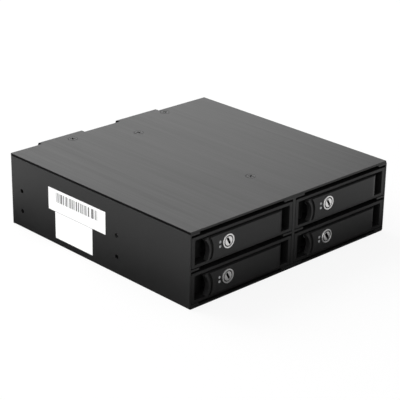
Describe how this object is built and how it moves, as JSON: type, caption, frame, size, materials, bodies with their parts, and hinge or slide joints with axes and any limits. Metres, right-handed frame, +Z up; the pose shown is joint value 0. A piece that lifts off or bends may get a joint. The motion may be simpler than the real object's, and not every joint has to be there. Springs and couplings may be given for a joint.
{
  "type": "hot swap drive cage",
  "caption": "Half-height bay cage with lockable lever trays for 2.5 inch drives, brushed cover, backplane and rear fans.",
  "frame": {"origin": "bottom centre of the outer box, lever locks at the front to cover tabs at the rear", "axes": "the tray faces look along -Y, +X is to the right seen from the front, +Z is up"},
  "size_m": [0.146, 0.149, 0.0413],
  "materials": {
    "cage_steel": "fine textured black powder coat",
    "cover_aluminium": "brushed, dark grey anodised",
    "tray_plastic": "fine spark-eroded black plastic",
    "lever_plastic": "satin black plastic",
    "tray_steel": "zinc plated sheet",
    "pin_steel": "ground",
    "lock_chrome": "nickel plated, satin",
    "light_plastic": "clear, polished",
    "black_screws": "black zinc",
    "zinc_screws": "zinc plated",
    "circuit_board": "green solder mask",
    "connector_plastic": "moulded black plastic",
    "fan_plastic": "moulded black plastic"
  },
  "bodies": {
    "root": {"chassis_base": "cage_steel", "guide_rails_left": "cage_steel", "guide_rails_right": "cage_steel", "centre_divider": "cage_steel", "rear_panel": "cage_steel", "top_cover": "cover_aluminium", "cover_screws": "black_screws", "rear_panel_screws": "black_screws", "fan_screws": "black_screws", "board_screws": "zinc_screws", "backplane_board": "circuit_board", "drive_socket_1": "connector_plastic", "data_port_1": "connector_plastic", "drive_socket_2": "connector_plastic", "data_port_2": "connector_plastic", "drive_socket_3": "connector_plastic", "data_port_3": "connector_plastic", "drive_socket_4": "connector_plastic", "data_port_4": "connector_plastic", "power_inlet_1": "connector_plastic", "fan_frame_1": "fan_plastic", "power_inlet_2": "connector_plastic", "fan_frame_2": "fan_plastic"},
    "tray_1": {"tray_1_bezel": "tray_plastic", "tray_1_carriage": "tray_steel", "tray_1_hinge_pin": "pin_steel", "tray_1_light_pipe": "light_plastic"},
    "lever_1": {"tray_1_lever": "lever_plastic", "tray_1_lever_lenses": "light_plastic"},
    "lock_1": {"tray_1_lock_cylinder": "lock_chrome", "tray_1_lock_cam": "tray_steel"},
    "tray_2": {"tray_2_bezel": "tray_plastic", "tray_2_carriage": "tray_steel", "tray_2_hinge_pin": "pin_steel", "tray_2_light_pipe": "light_plastic"},
    "lever_2": {"tray_2_lever": "lever_plastic", "tray_2_lever_lenses": "light_plastic"},
    "lock_2": {"tray_2_lock_cylinder": "lock_chrome", "tray_2_lock_cam": "tray_steel"},
    "tray_3": {"tray_3_bezel": "tray_plastic", "tray_3_carriage": "tray_steel", "tray_3_hinge_pin": "pin_steel", "tray_3_light_pipe": "light_plastic"},
    "lever_3": {"tray_3_lever": "lever_plastic", "tray_3_lever_lenses": "light_plastic"},
    "lock_3": {"tray_3_lock_cylinder": "lock_chrome", "tray_3_lock_cam": "tray_steel"},
    "tray_4": {"tray_4_bezel": "tray_plastic", "tray_4_carriage": "tray_steel", "tray_4_hinge_pin": "pin_steel", "tray_4_light_pipe": "light_plastic"},
    "lever_4": {"tray_4_lever": "lever_plastic", "tray_4_lever_lenses": "light_plastic"},
    "lock_4": {"tray_4_lock_cylinder": "lock_chrome", "tray_4_lock_cam": "tray_steel"},
    "fan_1": {"fan_rotor_1": "fan_plastic"},
    "fan_2": {"fan_rotor_2": "fan_plastic"}
  },
  "joints": [
    {"name": "tray_1_slide", "type": "slide", "parent": "root", "child": "tray_1", "axis": [0, -1, 0], "range_m": [0, 0.125]},
    {"name": "lever_1_swing", "type": "hinge", "parent": "tray_1", "child": "lever_1", "pos_m": [-0.01275, -0.0689, 0.0297], "axis": [0, 0, 1], "range_deg": [0, 75]},
    {"name": "lock_1_turn", "type": "hinge", "parent": "lever_1", "child": "lock_1", "pos_m": [-0.04865, -0.074, 0.03055], "axis": [0, -1, 0], "range_deg": [0, 90]},
    {"name": "tray_2_slide", "type": "slide", "parent": "root", "child": "tray_2", "axis": [0, -1, 0], "range_m": [0, 0.125]},
    {"name": "lever_2_swing", "type": "hinge", "parent": "tray_2", "child": "lever_2", "pos_m": [0.06025, -0.0689, 0.0297], "axis": [0, 0, 1], "range_deg": [0, 75]},
    {"name": "lock_2_turn", "type": "hinge", "parent": "lever_2", "child": "lock_2", "pos_m": [0.02435, -0.074, 0.03055], "axis": [0, -1, 0], "range_deg": [0, 90]},
    {"name": "tray_3_slide", "type": "slide", "parent": "root", "child": "tray_3", "axis": [0, -1, 0], "range_m": [0, 0.125]},
    {"name": "lever_3_swing", "type": "hinge", "parent": "tray_3", "child": "lever_3", "pos_m": [-0.01275, -0.0689, 0.0107], "axis": [0, 0, 1], "range_deg": [0, 75]},
    {"name": "lock_3_turn", "type": "hinge", "parent": "lever_3", "child": "lock_3", "pos_m": [-0.04865, -0.074, 0.01155], "axis": [0, -1, 0], "range_deg": [0, 90]},
    {"name": "tray_4_slide", "type": "slide", "parent": "root", "child": "tray_4", "axis": [0, -1, 0], "range_m": [0, 0.125]},
    {"name": "lever_4_swing", "type": "hinge", "parent": "tray_4", "child": "lever_4", "pos_m": [0.06025, -0.0689, 0.0107], "axis": [0, 0, 1], "range_deg": [0, 75]},
    {"name": "lock_4_turn", "type": "hinge", "parent": "lever_4", "child": "lock_4", "pos_m": [0.02435, -0.074, 0.01155], "axis": [0, -1, 0], "range_deg": [0, 90]},
    {"name": "fan_1_spin", "type": "hinge", "parent": "root", "child": "fan_1", "pos_m": [-0.036, 0.0645, 0.02055], "axis": [0, 1, 0], "continuous": true},
    {"name": "fan_2_spin", "type": "hinge", "parent": "root", "child": "fan_2", "pos_m": [0.02028, 0.0645, 0.02055], "axis": [0, 1, 0], "continuous": true}
  ]
}
